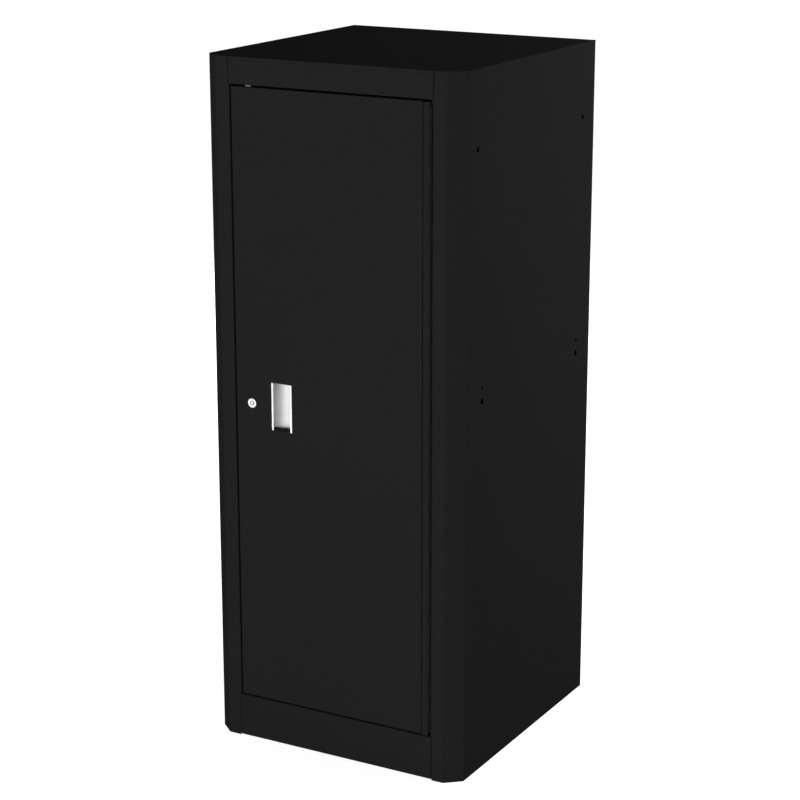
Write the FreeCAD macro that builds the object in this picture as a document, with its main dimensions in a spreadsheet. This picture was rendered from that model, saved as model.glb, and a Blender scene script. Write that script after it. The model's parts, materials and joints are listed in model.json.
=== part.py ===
"""Side locker for a tool chest: a parametric document with one object per piece.

Frame: X to the right, Y to the back, Z up, in millimetres. The origin is at the middle
of the base, half way between the lock's face and the back, so the front faces -Y.
Driving sizes live in the sheet "Sizes"; every other place is a formula of them.
"""
import FreeCAD
import Part
import Sketcher
import math
import os
from types import SimpleNamespace
from FreeCAD import Placement, Rotation, Vector

SIZES = {
    # shell
    "width": 450.5,
    "depth": 462.5,
    "height": 1118.0,
    "wall": 1.2,
    "seam": 0.2,
    "left_seam": 0.9,
    "nest_gap": 0.2,
    "chamfer_width": 25.2,
    "chamfer_depth": 21.3,
    "chamfer_bend": 2.4,
    "edge_bend": 2.0,
    "rail_bend": 1.2,
    "rear_bend": 2.4,
    "left_stile": 49.3,
    "right_stile": 47.0,
    "jamb_depth": 26.0,
    "stop_flange": 14.0,
    "rear_flange": 18.0,
    "foot_flange": 20.0,
    "foot_setback": 40.0,
    "back_foot": 22.0,
    # rails, top and floor
    "rail_inset": 48.0,
    "rail_tab": 5.0,
    "opening_bottom": 72.7,
    "header_height": 42.1,
    "rail_stop": 10.0,
    "rail_return": 20.0,
    "kick_gap": 1.9,
    "kick_shelf": 45.0,
    "top_lip": 5.5,
    "top_round": 1.1,
    "top_flange": 14.0,
    "floor_setback": 26.4,
    "floor_flange": 20.0,
    # holes in the right side
    "upper_hole_drop": 118.1,
    "upper_hole_front": 51.3,
    "upper_hole_spacing": 366.2,
    "upper_hole_radius": 4.2,
    "lower_hole_height": 610.1,
    "lower_hole_front": 72.9,
    "lower_hole_spacing": 337.0,
    "lower_hole_radius": 5.0,
    "pilot_hole_height": 631.7,
    "pilot_hole_radius": 3.0,
    # shelf standards, shelves and clips
    "standard_width": 16.0,
    "standard_depth": 5.0,
    "standard_front": 108.0,
    "standard_rear": 88.0,
    "standard_lift": 18.0,
    "slot_height": 4.0,
    "slot_width": 8.0,
    "slot_pitch": 25.4,
    "slot_start": 14.0,
    "shelf_lip": 20.0,
    "shelf_bend": 1.8,
    "shelf_front_gap": 32.0,
    "shelf_back_gap": 6.0,
    "shelf_side_gap": 1.5,
    "lower_shelf_slot_count": 8,
    "middle_shelf_slot_count": 17,
    "upper_shelf_slot_count": 26,
    "clip_thickness": 2.0,
    "clip_reach": 12.0,
    "clip_width": 7.0,
    "clip_hook": 5.0,
    # door
    "latch_gap": 2.9,
    "bottom_gap": 2.7,
    "top_gap": 3.0,
    "door_depth": 22.0,
    "door_bend": 1.5,
    "hinge_strip": 13.4,
    "stiffener_width": 40.0,
    "stiffener_flange": 12.0,
    "stiffener_inset": 34.0,
    "stiffener_offset": 15.0,
    # piano hinge
    "hinge_inset": 51.5,
    "hinge_setback": 1.6,
    "knuckle_radius": 2.1,
    "hinge_pin_radius": 1.1,
    "running_gap": 0.05,
    "leaf": 1.0,
    "door_leaf_width": 28.0,
    "frame_leaf_depth": 24.0,
    "leaf_bottom_gap": 1.2,
    "leaf_top_gap": 4.0,
    "barrel_bottom_cut": 6.5,
    "barrel_top_cut": 4.9,
    "knuckle_pairs": 16,
    "knuckle_gap": 0.4,
    "knuckle_relief": 0.5,
    "knuckle_side_gap": 0.3,
    "frame_leaf_end": 0.9,
    "door_leaf_end": 0.1,
    "rivet_radius": 1.6,
    "rivet_head_radius": 3.2,
    "rivet_head": 1.2,
    "rivet_tail_radius": 2.4,
    "rivet_tail": 1.5,
    "rivet_depth": 15.0,
    "rivet_count": 7,
    "rivet_end": 60.0,
    # recessed pull
    "pull_inset": 65.5,
    "pull_bottom": 535.8,
    "pull_width": 36.8,
    "pull_height": 77.0,
    "pull_depth": 19.8,
    "pull_wall": 1.3,
    "pull_proud": 0.9,
    "lip_width": 3.0,
    "cutout_gap": 0.3,
    "cap_thickness": 2.5,
    "cap_recess": 0.6,
    "cap_sill": 4.5,
    "cap_wall": 1.5,
    "cap_fit": 0.05,
    "clip_leg": 7.0,
    "clip_foot": 8.0,
    "clip_length": 30.0,
    "clip_sheet": 0.8,
    # lock
    "lock_inset": 29.5,
    "lock_height": 575.3,
    "lock_proud": 2.0,
    "lock_head_radius": 7.65,
    "lock_head_round": 0.5,
    "lock_body_radius": 6.6,
    "lock_body_end": 14.0,
    "lock_hole_gap": 0.2,
    "lock_lip": 0.5,
    "plug_radius": 5.53,
    "plug_nose_radius": 4.93,
    "plug_recess": 0.1,
    "plug_tail_radius": 3.0,
    "key_ring_radius": 3.35,
    "key_post_radius": 2.1,
    "key_depth": 6.0,
    "key_notch_width": 1.4,
    "key_notch_depth": 0.9,
    "nut_across": 20.0,
    "nut_thickness": 4.0,
    "nut_gap": 0.1,
    "cam_thickness": 2.0,
    "cam_gap": 0.3,
    "cam_hub_radius": 6.0,
    "cam_arm_width": 8.0,
    "cam_pin_circle": 12.0,
    "cam_pin_radius": 1.5,
    "cam_pin_length": 4.0,
    "cam_screw_radius": 1.45,
    "cam_screw_head": 3.1,
    "cam_screw_head_height": 1.8,
    "cam_screw_length": 7.0,
    "cam_fit": 0.05,
    # lock rods
    "rod_offset": 1.5,
    "rod_width": 9.4,
    "rod_thickness": 2.5,
    "rod_front": 5.5,
    "rod_cam_gap": 0.7,
    "rod_top_clear": 0.9,
    "rod_bottom_show": 0.6,
    "rod_slot_side": 1.0,
    "rod_joggle_start": 45.0,
    "rod_joggle": 22.0,
    "rod_bar_start": 18.0,
    "rod_bar_height": 12.0,
    "rod_leg_web": 1.7,
    "rod_pin_slack": 0.9,
    "guide_inset": 34.0,
    "guide_height": 12.0,
    "guide_side": 6.0,
    "guide_cap": 2.2,
    "guide_fit": 0.35,
    # catch and bumpers
    "bumper_radius": 5.0,
    "bumper_gap": 0.3,
    "bumper_inset": 7.0,
    "bumper_height": 120.0,
    "catch_height": 40.0,
    "catch_centre": 430.0,
    "catch_width": 12.0,
    "catch_depth": 14.0,
    "catch_gap": 0.4,
    "catch_wall_gap": 1.0,
    "strike_thickness": 1.0,
    "strike_height": 46.0,
    "strike_width": 15.0,
    "catch_ear": 9.0,
    "catch_ear_thickness": 2.0,
    "catch_screw_radius": 1.4,
    "catch_screw_head": 3.0,
    "catch_screw_head_height": 1.6,
    "catch_screw_tip": 0.6,
}

doc = FreeCAD.newDocument("SideLocker")
sheet = doc.addObject("Spreadsheet::Sheet", "Sizes")


class Size:
    """A number and the sheet formula that gives it, so that arithmetic keeps both."""

    def __init__(self, number, formula):
        self.number = float(number)
        self.formula = formula

    def __add__(self, other):
        other = as_size(other)
        return Size(self.number + other.number, f"({self.formula} + {other.formula})")

    def __sub__(self, other):
        other = as_size(other)
        return Size(self.number - other.number, f"({self.formula} - {other.formula})")

    def __mul__(self, other):
        other = as_size(other)
        return Size(self.number * other.number, f"({self.formula} * {other.formula})")

    def __truediv__(self, other):
        other = as_size(other)
        return Size(self.number / other.number, f"({self.formula} / {other.formula})")

    def __neg__(self):
        return Size(-self.number, f"(0 - {self.formula})")

    def __radd__(self, other):
        return as_size(other) + self

    def __rsub__(self, other):
        return as_size(other) - self

    def __rmul__(self, other):
        return as_size(other) * self


def as_size(value):
    """Give a plain number the same form as a size."""
    return value if isinstance(value, Size) else Size(value, str(float(value)))


def root(size):
    """Square root of a size, as a formula."""
    return Size(math.sqrt(size.number), f"sqrt({size.formula})")


def whole(size):
    """Whole part of a size, as a formula."""
    return Size(math.floor(size.number), f"floor({size.formula})")


def fill_sheet():
    """Write every driving size to the sheet and return them by name."""
    sizes = SimpleNamespace()
    for row, (name, number) in enumerate(SIZES.items(), start=1):
        sheet.set(f"A{row}", name)
        sheet.set(f"B{row}", str(number))
        sheet.setAlias(f"B{row}", name)
        setattr(sizes, name, Size(number, f"Sizes.{name}"))
    doc.recompute()
    return sizes


s = fill_sheet()

# Places that several pieces share, each worked out from the sizes.
half = s.width / 2
front = (s.lock_proud - s.depth) / 2
back = front + s.depth
top = s.height
ceiling = top - s.wall
opening_top = top - s.header_height
leaf_bottom = s.opening_bottom + s.leaf_bottom_gap
leaf_top = opening_top - s.leaf_top_gap
barrel_bottom = leaf_bottom + s.barrel_bottom_cut
barrel_top = leaf_top - s.barrel_top_cut
leaf_end = barrel_top + s.knuckle_gap
left_edge = s.left_stile - half
right_edge = half - s.right_stile
rail_left = s.rail_inset - half
rail_right = right_edge - s.seam
stop_face = front + s.jamb_depth - s.wall
back_inner = back - 2 * s.wall
floor_top = s.opening_bottom + s.wall
hinge_x = half - s.hinge_inset
hinge_y = front + s.hinge_setback
door_left = left_edge + s.latch_gap
door_back = front + s.door_depth
door_bottom = s.opening_bottom + s.bottom_gap
door_top = opening_top - s.top_gap
skin_right = hinge_x - s.hinge_strip
skin_inner = front + s.wall
lock_x = door_left + s.lock_inset
lock_z = s.lock_height
rod_x = lock_x - s.rod_offset
cam_front = front + s.lock_body_end + s.cam_gap
cam_back = cam_front + s.cam_thickness
rod_back_face = cam_back + s.rod_cam_gap
pin_rest = s.cam_pin_circle / root(as_size(2))

PLANES = {"XY_Plane": 1, "XZ_Plane": -1, "YZ_Plane": 1}
nodes = []


def bind(item, prop, size):
    """Tie one property of a document object to a size's formula."""
    item.setExpression(prop, as_size(size).formula)


def node(item, label):
    """Name a finished sub-part; its label is the name of its file."""
    item.Label = label
    nodes.append(item)
    return item


def put(item, x, y, z):
    """Tie an object's position to three sizes."""
    bind(item, "Placement.Base.x", x)
    bind(item, "Placement.Base.y", y)
    bind(item, "Placement.Base.z", z)


def box(name, x, y, z):
    """Block between two sizes along each axis."""
    block = doc.addObject("Part::Box", name)
    bind(block, "Length", as_size(x[1]) - x[0])
    bind(block, "Width", as_size(y[1]) - y[0])
    bind(block, "Height", as_size(z[1]) - z[0])
    put(block, x[0], y[0], z[0])
    return block


def rod_along(name, axis, radius, start, length):
    """Cylinder from the point start along +X, +Y or +Z."""
    turns = {
        "X": Rotation(Vector(0, 1, 0), 90),
        "Y": Rotation(Vector(1, 0, 0), -90),
        "Z": Rotation(),
    }
    cylinder = doc.addObject("Part::Cylinder", name)
    cylinder.Placement = Placement(Vector(), turns[axis])
    bind(cylinder, "Radius", radius)
    bind(cylinder, "Height", length)
    put(cylinder, *start)
    return cylinder


def fuse(name, *solids):
    """Join solids into one."""
    joined = doc.addObject("Part::MultiFuse", name)
    joined.Shapes = list(solids)
    joined.Refine = True
    return joined


def cut(name, base, *tools):
    """Take one or more tools away from a base."""
    result = doc.addObject("Part::Cut", name)
    result.Base = base
    result.Tool = tools[0] if len(tools) == 1 else fuse(f"{name}_tools", *tools)
    result.Refine = True
    return result


def group(name, solids):
    """Keep equal pieces as separate solids of one object."""
    compound = doc.addObject("Part::Compound", name)
    compound.Links = list(solids)
    return compound


def new_body(name):
    """Start a body."""
    return doc.addObject("PartDesign::Body", name)


def plane_of(body, role):
    """One of the origin planes or axes of a body."""
    return next(item for item in body.Origin.OriginFeatures if item.Role == role)


def sketch_on(body, name, role, offset):
    """Empty sketch on an origin plane of the body, lifted to a size along its axis."""
    sketch = body.newObject("Sketcher::SketchObject", name)
    sketch.AttachmentSupport = [(plane_of(body, role), "")]
    sketch.MapMode = "FlatFace"
    bind(sketch, "AttachmentOffset.Base.z", as_size(offset) * PLANES[role])
    return sketch


def tie_point(sketch, geometry, end, point):
    """Fix a point of the sketch at two sizes from the origin."""
    for kind, size in zip(("DistanceX", "DistanceY"), point):
        size = as_size(size)
        index = sketch.addConstraint(
            Sketcher.Constraint(kind, -1, 1, geometry, end, size.number)
        )
        sketch.setExpression(f"Constraints[{index}]", size.formula)


def draw_outline(sketch, points):
    """Closed outline of straight lines through the points."""
    corners = [Vector(as_size(u).number, as_size(v).number, 0) for u, v in points]
    first = sketch.GeometryCount
    count = len(corners)
    for index in range(count):
        line = Part.LineSegment(corners[index], corners[(index + 1) % count])
        sketch.addGeometry(line)
    for index in range(count):
        following = first + (index + 1) % count
        sketch.addConstraint(Sketcher.Constraint("Coincident", first + index, 2, following, 1))
    for index, point in enumerate(points):
        tie_point(sketch, first + index, 1, point)


def draw_rectangle(sketch, u, v):
    """Rectangle between two sizes along each sketch axis."""
    draw_outline(sketch, [(u[0], v[0]), (u[1], v[0]), (u[1], v[1]), (u[0], v[1])])


def draw_circle(sketch, centre, radius):
    """Circle with its centre and radius tied to sizes."""
    radius = as_size(radius)
    middle = Vector(as_size(centre[0]).number, as_size(centre[1]).number, 0)
    index = sketch.addGeometry(Part.Circle(middle, Vector(0, 0, 1), radius.number))
    tie_point(sketch, index, 3, centre)
    size = sketch.addConstraint(Sketcher.Constraint("Radius", index, radius.number))
    sketch.setExpression(f"Constraints[{size}]", radius.formula)


def pad(body, name, role, low, high, draw):
    """Pad between two sizes along the plane's axis, from what draw() puts in the sketch."""
    start = high if role == "XZ_Plane" else low
    sketch = sketch_on(body, f"{name}_sketch", role, start)
    draw(sketch)
    feature = body.newObject("PartDesign::Pad", name)
    feature.Profile = sketch
    bind(feature, "Length", as_size(high) - low)
    doc.recompute()
    return feature


def pocket(body, name, role, low, high, draw):
    """Pocket between two sizes along the plane's axis; it must take material away."""
    before = body.Shape.Volume
    start = low if role == "XZ_Plane" else high
    sketch = sketch_on(body, f"{name}_sketch", role, start)
    draw(sketch)
    feature = body.newObject("PartDesign::Pocket", name)
    feature.Profile = sketch
    bind(feature, "Length", as_size(high) - low)
    doc.recompute()
    if feature.Shape.Volume >= before:
        raise RuntimeError(f"{name} cuts nothing")
    return feature


def repeat_up(body, name, feature, length, count):
    """Repeat a feature along +Z over a length."""
    pattern = body.newObject("PartDesign::LinearPattern", name)
    pattern.Originals = [feature]
    pattern.Direction = (plane_of(body, "Z_Axis"), [""])
    bind(pattern, "Length", length)
    bind(pattern, "Occurrences", count)
    body.Tip = pattern
    doc.recompute()
    return pattern


def round_edges(body, name, radius, chosen):
    """Fillet the edges of the body for which chosen(edge) is true."""
    base = body.Tip
    edges = [f"Edge{number}" for number, edge in enumerate(base.Shape.Edges, 1) if chosen(edge)]
    if not edges:
        raise RuntimeError(f"{name} found no edge")
    fillet = body.newObject("PartDesign::Fillet", name)
    fillet.Base = (base, edges)
    bind(fillet, "Radius", radius)
    doc.recompute()
    return fillet


def shell(body, name, open_faces):
    """Hollow the body to the sheet's thickness, leaving out the chosen faces."""
    base = body.Tip
    faces = [f"Face{number}" for number, face in enumerate(base.Shape.Faces, 1) if open_faces(face)]
    thickness = body.newObject("PartDesign::Thickness", name)
    thickness.Base = (base, faces)
    bind(thickness, "Value", s.wall)
    thickness.Reversed = True
    doc.recompute()
    if thickness.Shape.Volume >= base.Shape.Volume:
        raise RuntimeError(f"{name} hollows nothing")
    return thickness


def near(value, size):
    """True where a coordinate is at a size."""
    return abs(value - as_size(size).number) < 0.01


def upright_at(edge, corners):
    """True for a straight edge along Z through one of the (x, y) corners."""
    bounds = edge.BoundBox
    if bounds.XLength > 0.01 or bounds.YLength > 0.01:
        return False
    return any(near(bounds.XMin, x) and near(bounds.YMin, y) for x, y in corners)


def side_panel(label, side, stile, with_stop):
    """Bent sheet: rear flange, side, chamfered corner, front stile and jamb."""
    slant = root(s.chamfer_width * s.chamfer_width + s.chamfer_depth * s.chamfer_depth)
    side_shift = s.wall * (slant - s.chamfer_depth) / s.chamfer_width
    stile_shift = s.wall * (slant - s.chamfer_width) / s.chamfer_depth
    edge = half - stile
    jamb_end = front + s.jamb_depth
    corner_side = (half, front + s.chamfer_depth)
    corner_stile = (half - s.chamfer_width, front)
    inner_side = (half - s.wall, front + s.chamfer_depth + side_shift)
    inner_stile = (half - s.chamfer_width - stile_shift, skin_inner)
    outline = [
        (half - s.rear_flange, back),
        (half, back),
        corner_side,
        corner_stile,
        (edge, front),
    ]
    if with_stop:
        outline += [(edge, stop_face), (edge - s.stop_flange, stop_face)]
        outline += [(edge - s.stop_flange, jamb_end), (edge + s.wall, jamb_end)]
    else:
        outline += [(edge, jamb_end), (edge + s.wall, jamb_end)]
    outline += [
        (edge + s.wall, skin_inner),
        inner_stile,
        inner_side,
        (half - s.wall, back - s.wall),
        (half - s.rear_flange, back - s.wall),
    ]

    def mirrored(points):
        return [(x * side, y) for x, y in points]

    body = new_body(label)
    pad(body, f"{label}_sheet", "XY_Plane", 0, ceiling,
        lambda sketch: draw_outline(sketch, mirrored(outline)))
    bends = (
        ("chamfer_outer", s.chamfer_bend, [corner_side, corner_stile]),
        ("chamfer_inner", s.chamfer_bend - s.wall, [inner_side, inner_stile]),
        ("edge_outer", s.edge_bend, [(edge, front)]),
        ("edge_inner", s.edge_bend - s.wall, [(edge + s.wall, skin_inner)]),
        ("rear_outer", s.rear_bend, [(half, back)]),
        ("rear_inner", s.rear_bend - s.wall, [(half - s.wall, back - s.wall)]),
    )
    for name, radius, corners in bends:
        round_edges(body, f"{label}_{name}", radius,
                    lambda edge, spots=mirrored(corners): upright_at(edge, spots))
    foot = [half - s.wall - s.foot_flange, half - s.wall / 2]
    pad(body, f"{label}_foot", "XY_Plane", 0, s.wall,
        lambda sketch: draw_rectangle(sketch, [x * side for x in foot][::side],
                                      (front + s.foot_setback, back - s.wall - s.back_foot)))
    return body


def catch_screw_places():
    """Points (x, z) of the two screws of the catch."""
    x = left_edge + s.bumper_inset
    apart = s.catch_height / 2 - s.catch_ear
    return [(x, s.catch_centre - apart), (x, s.catch_centre + apart)]


def catch_screw_holes(body, label):
    """Holes in the stop flange for the catch's screws."""

    def draw(sketch):
        for place in catch_screw_places():
            draw_circle(sketch, place, s.catch_screw_radius + s.running_gap)

    pocket(body, f"{label}_catch_holes", "XZ_Plane", stop_face - s.wall, stop_face + 2 * s.wall, draw)


def notch_for_rails(body, label):
    """Clear the stile and jamb of the latch side where the header and kick rails pass."""
    spans = (("header", opening_top - s.seam, top), ("kick", -s.wall, s.opening_bottom + s.seam))
    for name, low, high in spans:
        pocket(body, f"{label}_{name}_notch", "XY_Plane", low, high,
               lambda sketch: draw_rectangle(
                   sketch, (rail_left - s.left_seam, left_edge + s.stop_flange + s.wall),
                   (front - s.wall, front + s.jamb_depth + s.wall)))


def side_holes(body, label):
    """Holes that bolt the locker to the side of a chest."""
    rows = (
        ("upper", top - s.upper_hole_drop, s.upper_hole_front, s.upper_hole_spacing, s.upper_hole_radius),
        ("lower", s.lower_hole_height, s.lower_hole_front, s.lower_hole_spacing, s.lower_hole_radius),
        ("pilot", s.pilot_hole_height, s.lower_hole_front, s.lower_hole_spacing, s.pilot_hole_radius),
    )

    def draw(sketch):
        for _, height, inset, spacing, radius in rows:
            draw_circle(sketch, (front + inset, height), radius)
            draw_circle(sketch, (front + inset + spacing, height), radius)

    pocket(body, f"{label}_holes", "YZ_Plane", half - 2 * s.wall, half + s.wall, draw)


def rivet_heights():
    """Heights of the hinge rivets, evenly spaced along the frame leaf."""
    low = leaf_bottom + s.rivet_end
    span = leaf_top - s.rivet_end - low
    steps = SIZES["rivet_count"] - 1
    return [low + span * step / (s.rivet_count - 1) for step in range(steps + 1)]


def rivet_holes(body, label, low, high):
    """Row of rivet holes along a leaf or jamb, between two sizes along X."""

    def draw(sketch):
        for height in rivet_heights():
            draw_circle(sketch, (front + s.rivet_depth, height), s.rivet_radius + s.running_gap)

    pocket(body, f"{label}_rivet_holes", "YZ_Plane", low, high, draw)


def make_sides():
    """Left panel with the door stop; right panel with the hinge jamb and the bolt holes."""
    left = side_panel("left_side_panel", -1, s.left_stile, True)
    notch_for_rails(left, "left_side_panel")
    catch_screw_holes(left, "left_side_panel")
    node(left, "left_side_panel")
    right = side_panel("right_side_panel", 1, s.right_stile, False)
    side_holes(right, "right_side_panel")
    rivet_holes(right, "right_side_panel", right_edge - s.wall, right_edge + 2 * s.wall)
    node(right, "right_side_panel")


def make_back():
    """Flat back inside the rear flanges, turned forward at the foot."""
    side = half - s.rear_bend - s.nest_gap
    panel = box("back_sheet", (-side, side), (back_inner, back - s.wall), (0, ceiling))
    foot_y = (back_inner - s.foot_flange, back - s.wall)
    foot = box("back_foot_flange", (-side, side), foot_y, (0, s.wall))
    node(fuse("back", panel, foot), "back_panel")


def make_top():
    """Top sheet with chamfered corners, a short front lip and flanges inside the shell."""
    outline = [
        (half, back),
        (half, front + s.chamfer_depth),
        (half - s.chamfer_width, front),
        (s.chamfer_width - half, front),
        (-half, front + s.chamfer_depth),
        (-half, back),
    ]
    body = new_body("top_panel_body")
    pad(body, "top_sheet", "XY_Plane", ceiling, top, lambda sketch: draw_outline(sketch, outline))
    round_edges(body, "top_round_over", s.top_round, lambda edge: near(edge.BoundBox.ZMin, top))
    pad(body, "top_front_lip", "XZ_Plane", front, skin_inner,
        lambda sketch: draw_rectangle(sketch, (rail_left, rail_right), (top - s.top_lip, ceiling)))
    inner = half - 2 * s.wall
    low = top - s.top_flange
    deep = (front + s.foot_setback, back - s.wall - s.back_foot)
    for name, x in (("right", (inner, half - s.wall)), ("left", (s.wall - half, -inner))):
        pad(body, f"top_{name}_flange", "XY_Plane", low, ceiling,
            lambda sketch, x=x: draw_rectangle(sketch, x, deep))
    wide = half - s.foot_setback
    pad(body, "top_back_flange", "XY_Plane", low, ceiling,
        lambda sketch: draw_rectangle(sketch, (-wide, wide), (back_inner - s.wall, back_inner)))
    node(body, "top_panel")


def round_front(body, name, radius, z):
    """Round the front edge that runs along X at the height z."""
    round_edges(body, name, radius,
                lambda edge: near(edge.BoundBox.ZMin, z) and near(edge.BoundBox.ZMax, z)
                and near(edge.BoundBox.YMax, front))


def rail_ends(body, name, low, high):
    """Flanges folded back at both ends of a rail, and a tab behind the stile of the latch side."""
    for hand, x in (("left", (rail_left, rail_left + s.wall)), ("right", (rail_right - s.wall, rail_right))):
        pad(body, f"{name}_{hand}_end", "YZ_Plane", x[0], x[1],
            lambda sketch: draw_rectangle(sketch, (skin_inner, front + s.rail_return),
                                          (low + s.wall, high - s.wall)))
    tab_face = skin_inner + s.nest_gap
    pad(body, f"{name}_tab", "XZ_Plane", tab_face, tab_face + s.wall,
        lambda sketch: draw_rectangle(sketch, (rail_left - s.rail_tab, rail_left + s.wall),
                                      (low + s.wall, high - s.wall)))


def rod_slot(body, name, low, high):
    """Slot along Z for a lock rod."""
    sides = s.rod_width / 2 + s.rod_slot_side
    pocket(body, name, "XY_Plane", low, high,
           lambda sketch: draw_rectangle(
               sketch, (rod_x - sides, rod_x + sides),
               (front + s.rod_front - s.rod_slot_side,
                front + s.rod_front + s.rod_thickness + s.rod_slot_side)))


def make_header():
    """Channel over the door, with a stop lip behind the door's top edge."""
    low = opening_top
    high = top - s.top_lip - s.nest_gap
    deep = front + s.jamb_depth
    outline = [
        (front, low),
        (front, high),
        (front + s.rail_return, high),
        (front + s.rail_return, high - s.wall),
        (skin_inner, high - s.wall),
        (skin_inner, low + s.wall),
        (deep, low + s.wall),
        (deep, low),
    ]
    body = new_body("header_rail_body")
    pad(body, "header_channel", "YZ_Plane", rail_left, rail_right,
        lambda sketch: draw_outline(sketch, outline))
    stop_left = left_edge + s.stop_flange + s.seam
    pad(body, "header_stop", "XZ_Plane", stop_face, deep,
        lambda sketch: draw_rectangle(sketch, (stop_left, rail_right), (low - s.rail_stop, low)))
    rail_ends(body, "header", low, high)
    round_front(body, "header_bend", s.rail_bend, low)
    rod_slot(body, "header_rod_slot", low - s.wall, low + 2 * s.wall)
    node(body, "header_rail")


def make_kick():
    """Channel under the door; its upper flange carries the floor's front edge."""
    low = s.kick_gap
    high = s.opening_bottom
    outline = [
        (front, low),
        (front, high),
        (front + s.kick_shelf, high),
        (front + s.kick_shelf, high - s.wall),
        (skin_inner, high - s.wall),
        (skin_inner, low + s.wall),
        (front + s.rail_return, low + s.wall),
        (front + s.rail_return, low),
    ]
    body = new_body("kick_rail_body")
    pad(body, "kick_channel", "YZ_Plane", rail_left, rail_right,
        lambda sketch: draw_outline(sketch, outline))
    rail_ends(body, "kick", low, high)
    round_front(body, "kick_bend", s.rail_bend, high)
    rod_slot(body, "kick_rod_slot", high - 2 * s.wall, high + s.wall)
    node(body, "kick_rail")


def make_floor():
    """Floor pan: a sheet turned down at both sides and the back."""
    side = half - s.wall - s.nest_gap
    start = front + s.floor_setback
    end = back_inner - s.nest_gap
    low = floor_top - s.floor_flange
    block = box("floor_block", (-side, side), (start, end), (low, floor_top))
    hollow = box("floor_hollow", (s.wall - side, side - s.wall), (start - s.wall, end - s.wall),
                 (low - s.wall, s.opening_bottom))
    node(cut("floor", block, hollow), "floor_pan")


def standard_place(row):
    """Middle of a front or rear standard along Y."""
    return front + s.standard_front if row == "front" else back - s.standard_rear


def make_standards():
    """Four slotted channels that carry the shelf clips."""
    low = floor_top + s.standard_lift
    high = ceiling - s.top_flange - s.standard_lift
    outer = half - s.wall
    face = outer - s.standard_depth
    steps = whole((high - low - 2 * s.slot_start - s.slot_height) / s.slot_pitch)
    for hand, side in (("left", -1), ("right", 1)):
        for row in ("front", "rear"):
            label = f"{hand}_{row}_standard"
            middle = standard_place(row)
            near_y = middle - s.standard_width / 2
            far_y = middle + s.standard_width / 2
            outline = [
                (face, near_y),
                (outer, near_y),
                (outer, near_y + s.wall),
                (face + s.wall, near_y + s.wall),
                (face + s.wall, far_y - s.wall),
                (outer, far_y - s.wall),
                (outer, far_y),
                (face, far_y),
            ]
            points = [(x * side, y) for x, y in outline]
            body = new_body(f"{label}_body")
            pad(body, f"{label}_channel", "XY_Plane", low, high,
                lambda sketch: draw_outline(sketch, points))
            slot_x = [(face - s.wall) * side, (face + 2 * s.wall) * side][::side]
            slot_low = low + s.slot_start
            slot = pocket(body, f"{label}_slot", "YZ_Plane", slot_x[0], slot_x[1],
                          lambda sketch: draw_rectangle(
                              sketch, (middle - s.slot_width / 2, middle + s.slot_width / 2),
                              (slot_low, slot_low + s.slot_height)))
            repeat_up(body, f"{label}_slots", slot, s.slot_pitch * steps, steps + 1)
            node(body, label)


def slot_height(slot):
    """Lower edge of a standard's slot, counted from the bottom one."""
    return floor_top + s.standard_lift + s.slot_start + s.slot_pitch * slot


def make_shelf(label, slot):
    """Shelf pan with four lips, resting on four clips hooked into the standards."""
    lip_bottom = slot_height(slot) + s.clip_thickness
    face = half - s.wall - s.standard_depth
    side = face - s.shelf_side_gap
    start = front + s.shelf_front_gap
    end = back_inner - s.shelf_back_gap
    body = new_body(f"{label}_body")
    pad(body, f"{label}_block", "XY_Plane", lip_bottom, lip_bottom + s.shelf_lip,
        lambda sketch: draw_rectangle(sketch, (-side, side), (start, end)))
    round_edges(body, f"{label}_bends", s.shelf_bend,
                lambda edge: near(edge.BoundBox.ZMin, lip_bottom + s.shelf_lip))
    shell(body, f"{label}_pan", lambda face_: near(face_.BoundBox.ZMax, lip_bottom))
    node(body, label)
    clips = []
    for hand, sign in (("left", -1), ("right", 1)):
        for row in ("front", "rear"):
            middle = standard_place(row)
            wide = (middle - s.clip_width / 2, middle + s.clip_width / 2)
            behind = face + s.wall + s.nest_gap
            tab_x = [(face - s.clip_reach) * sign, (behind + s.wall) * sign][::sign]
            hook_x = [behind * sign, (behind + s.wall) * sign][::sign]
            name = f"{label}_{hand}_{row}_clip"
            tab = box(f"{name}_tab", tab_x, wide, (slot_height(slot), lip_bottom))
            hook = box(f"{name}_hook", hook_x, wide, (slot_height(slot) - s.clip_hook, lip_bottom))
            clips.append(fuse(name, tab, hook))
    node(group(f"{label}_clip_group", clips), f"{label}_clips")


def make_shelves():
    """Three shelves at their slots."""
    make_shelf("lower_shelf", s.lower_shelf_slot_count)
    make_shelf("middle_shelf", s.middle_shelf_slot_count)
    make_shelf("upper_shelf", s.upper_shelf_slot_count)


def knuckle_pitch():
    """Length of one knuckle with its gap."""
    return (barrel_top - barrel_bottom) / (2 * s.knuckle_pairs + 1)


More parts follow.
